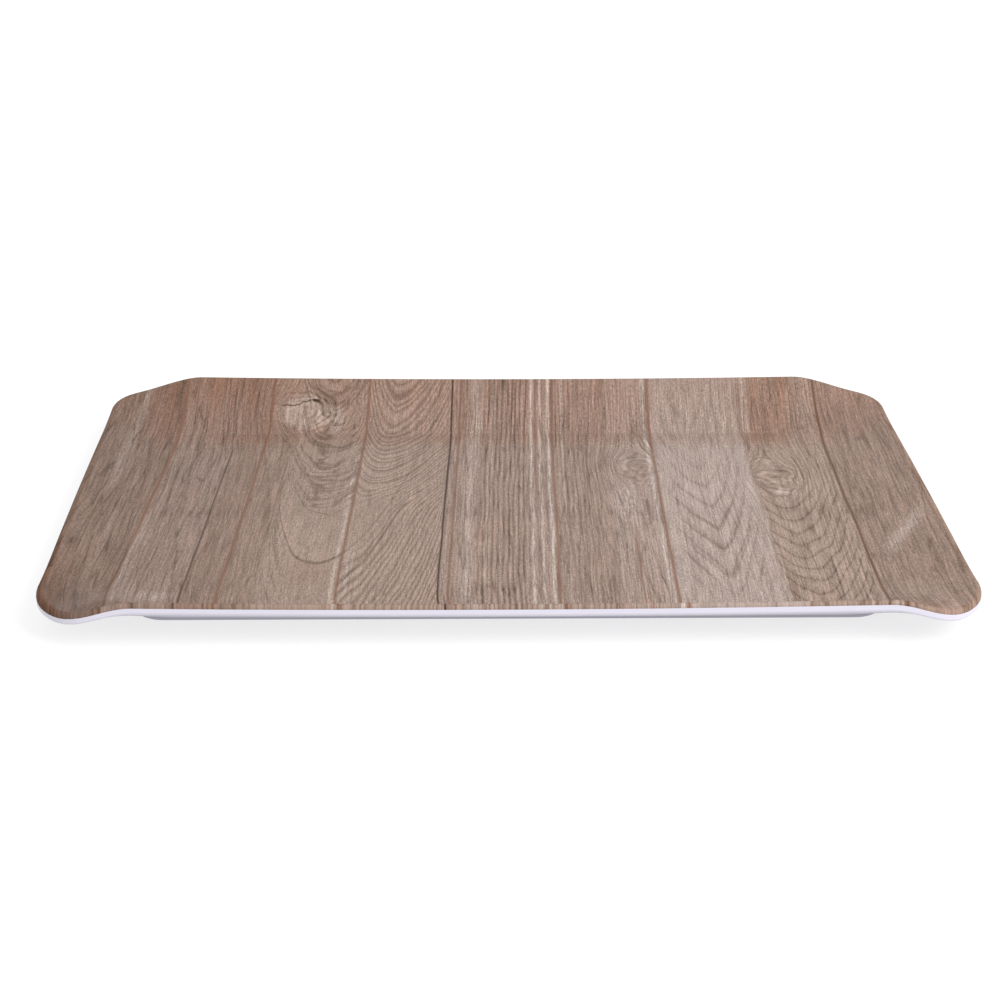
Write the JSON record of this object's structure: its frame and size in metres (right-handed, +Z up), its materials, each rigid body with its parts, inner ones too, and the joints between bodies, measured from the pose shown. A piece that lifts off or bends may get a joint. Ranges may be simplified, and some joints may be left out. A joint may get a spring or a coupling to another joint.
{
  "type": "serving tray",
  "caption": "Shallow rectangular serving tray with sloped long walls, low flared ends, rounded corners, a foot ring and a wood plank print.",
  "frame": {"origin": "on the table, under the middle of the tray", "axes": "+X along the tray towards one flared end, +Y across it towards a long wall, +Z up"},
  "size_m": [0.4628, 0.306, 0.0273],
  "materials": {
    "white_melamine": "white moulded melamine with a faint lavender tint, satin",
    "wood_print": "printed weathered plank pattern, grey-brown, under a satin glaze",
    "clear_glaze": "clear melamine glaze, satin"
  },
  "bodies": {
    "root": {"tray_body": "white_melamine", "decor_foil": "wood_print", "glaze_layer": "clear_glaze"}
  },
  "joints": []
}
